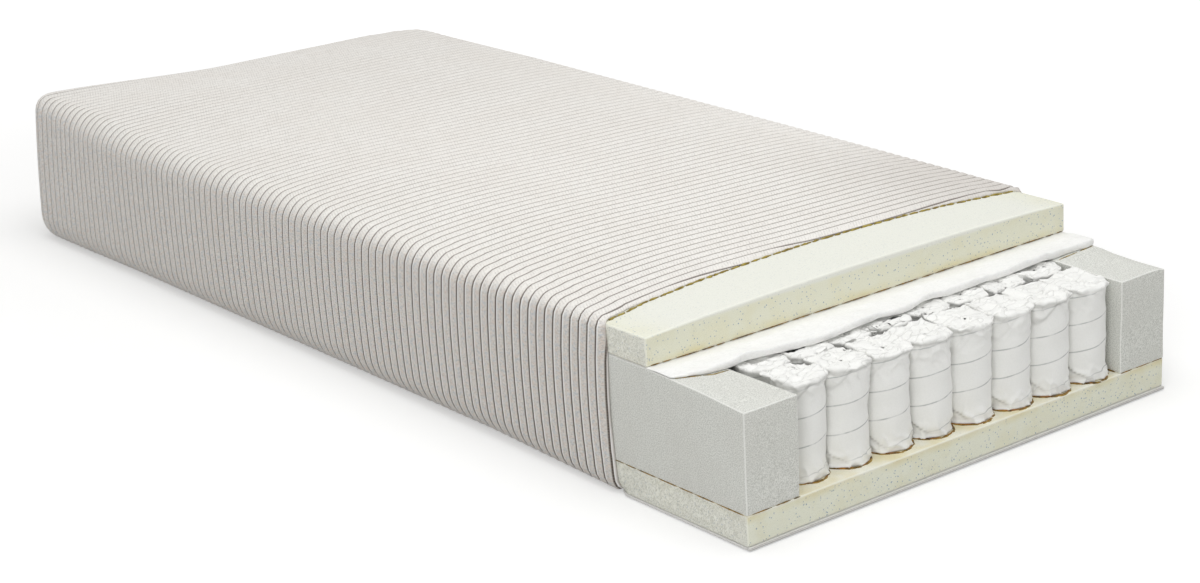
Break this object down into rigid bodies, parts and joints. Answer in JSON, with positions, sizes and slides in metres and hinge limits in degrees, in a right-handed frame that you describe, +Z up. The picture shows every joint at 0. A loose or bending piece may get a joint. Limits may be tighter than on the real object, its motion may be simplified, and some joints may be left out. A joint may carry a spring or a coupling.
{
  "type": "mattress",
  "caption": "Single hybrid mattress: memory foam over felt and pocket springs in a ribbed knit cover, cut away in steps at the foot end to show its layers.",
  "frame": {"origin": "on the bed, under the middle of the mattress's outline", "axes": "+Z up from the bed, +Y along the length towards the head end, +X across the width; the open foot end faces -Y"},
  "size_m": [0.8, 1.9, 0.2425],
  "materials": {
    "ribbed_knit": "quilted, ribbed polyester knit, matte",
    "underside_cloth": "quilted non-woven cloth, matte",
    "memory_foam": "speckled viscoelastic foam, cut, matte",
    "base_foam": "speckled polyurethane foam, cut, matte",
    "rail_foam": "firm polyurethane foam, cut, matte",
    "felt": "needled fibre felt, matte",
    "pocket_cloth": "spunbond non-woven, slight sheen",
    "spring_steel": "drawn high-carbon wire"
  },
  "bodies": {
    "mattress": {"cover_knit": "ribbed_knit", "cover_underside": "underside_cloth", "base_foam": "base_foam", "side_rail_left": "rail_foam", "side_rail_right": "rail_foam", "head_rail": "rail_foam", "felt_pad": "felt", "memory_foam_layer": "memory_foam", "spring_string_02": "pocket_cloth", "spring_string_03": "pocket_cloth", "spring_string_04": "pocket_cloth", "spring_string_05": "pocket_cloth", "spring_string_06": "pocket_cloth", "spring_string_07": "pocket_cloth", "spring_string_08": "pocket_cloth", "spring_string_09": "pocket_cloth", "spring_string_10": "pocket_cloth", "spring_string_11": "pocket_cloth", "spring_string_12": "pocket_cloth", "spring_string_13": "pocket_cloth", "spring_string_14": "pocket_cloth", "spring_string_15": "pocket_cloth", "spring_string_16": "pocket_cloth", "spring_string_17": "pocket_cloth", "spring_string_18": "pocket_cloth", "spring_string_19": "pocket_cloth", "spring_string_20": "pocket_cloth", "spring_string_21": "pocket_cloth", "spring_string_22": "pocket_cloth", "spring_string_23": "pocket_cloth", "spring_string_24": "pocket_cloth", "spring_string_25": "pocket_cloth", "spring_string_26": "pocket_cloth"},
    "spring_1": {"pocket_1": "pocket_cloth", "coil_spring_1": "spring_steel"},
    "spring_2": {"pocket_2": "pocket_cloth", "coil_spring_2": "spring_steel"},
    "spring_3": {"pocket_3": "pocket_cloth", "coil_spring_3": "spring_steel"},
    "spring_4": {"pocket_4": "pocket_cloth", "coil_spring_4": "spring_steel"},
    "spring_5": {"pocket_5": "pocket_cloth", "coil_spring_5": "spring_steel"},
    "spring_6": {"pocket_6": "pocket_cloth", "coil_spring_6": "spring_steel"},
    "spring_7": {"pocket_7": "pocket_cloth", "coil_spring_7": "spring_steel"},
    "spring_8": {"pocket_8": "pocket_cloth", "coil_spring_8": "spring_steel"}
  },
  "joints": [
    {"name": "pocket_1_press", "type": "slide", "parent": "mattress", "child": "spring_1", "axis": [0, 0, -1], "range_m": [0, 0.06], "stiffness_N_per_m": 190, "springref_m": -0.04, "deforming": ["pocket_1", "coil_spring_1"]},
    {"name": "pocket_2_press", "type": "slide", "parent": "mattress", "child": "spring_2", "axis": [0, 0, -1], "range_m": [0, 0.06], "stiffness_N_per_m": 190, "springref_m": -0.04, "deforming": ["pocket_2", "coil_spring_2"]},
    {"name": "pocket_3_press", "type": "slide", "parent": "mattress", "child": "spring_3", "axis": [0, 0, -1], "range_m": [0, 0.06], "stiffness_N_per_m": 190, "springref_m": -0.04, "deforming": ["pocket_3", "coil_spring_3"]},
    {"name": "pocket_4_press", "type": "slide", "parent": "mattress", "child": "spring_4", "axis": [0, 0, -1], "range_m": [0, 0.06], "stiffness_N_per_m": 190, "springref_m": -0.04, "deforming": ["pocket_4", "coil_spring_4"]},
    {"name": "pocket_5_press", "type": "slide", "parent": "mattress", "child": "spring_5", "axis": [0, 0, -1], "range_m": [0, 0.06], "stiffness_N_per_m": 190, "springref_m": -0.04, "deforming": ["pocket_5", "coil_spring_5"]},
    {"name": "pocket_6_press", "type": "slide", "parent": "mattress", "child": "spring_6", "axis": [0, 0, -1], "range_m": [0, 0.06], "stiffness_N_per_m": 190, "springref_m": -0.04, "deforming": ["pocket_6", "coil_spring_6"]},
    {"name": "pocket_7_press", "type": "slide", "parent": "mattress", "child": "spring_7", "axis": [0, 0, -1], "range_m": [0, 0.06], "stiffness_N_per_m": 190, "springref_m": -0.04, "deforming": ["pocket_7", "coil_spring_7"]},
    {"name": "pocket_8_press", "type": "slide", "parent": "mattress", "child": "spring_8", "axis": [0, 0, -1], "range_m": [0, 0.06], "stiffness_N_per_m": 190, "springref_m": -0.04, "deforming": ["pocket_8", "coil_spring_8"]}
  ]
}
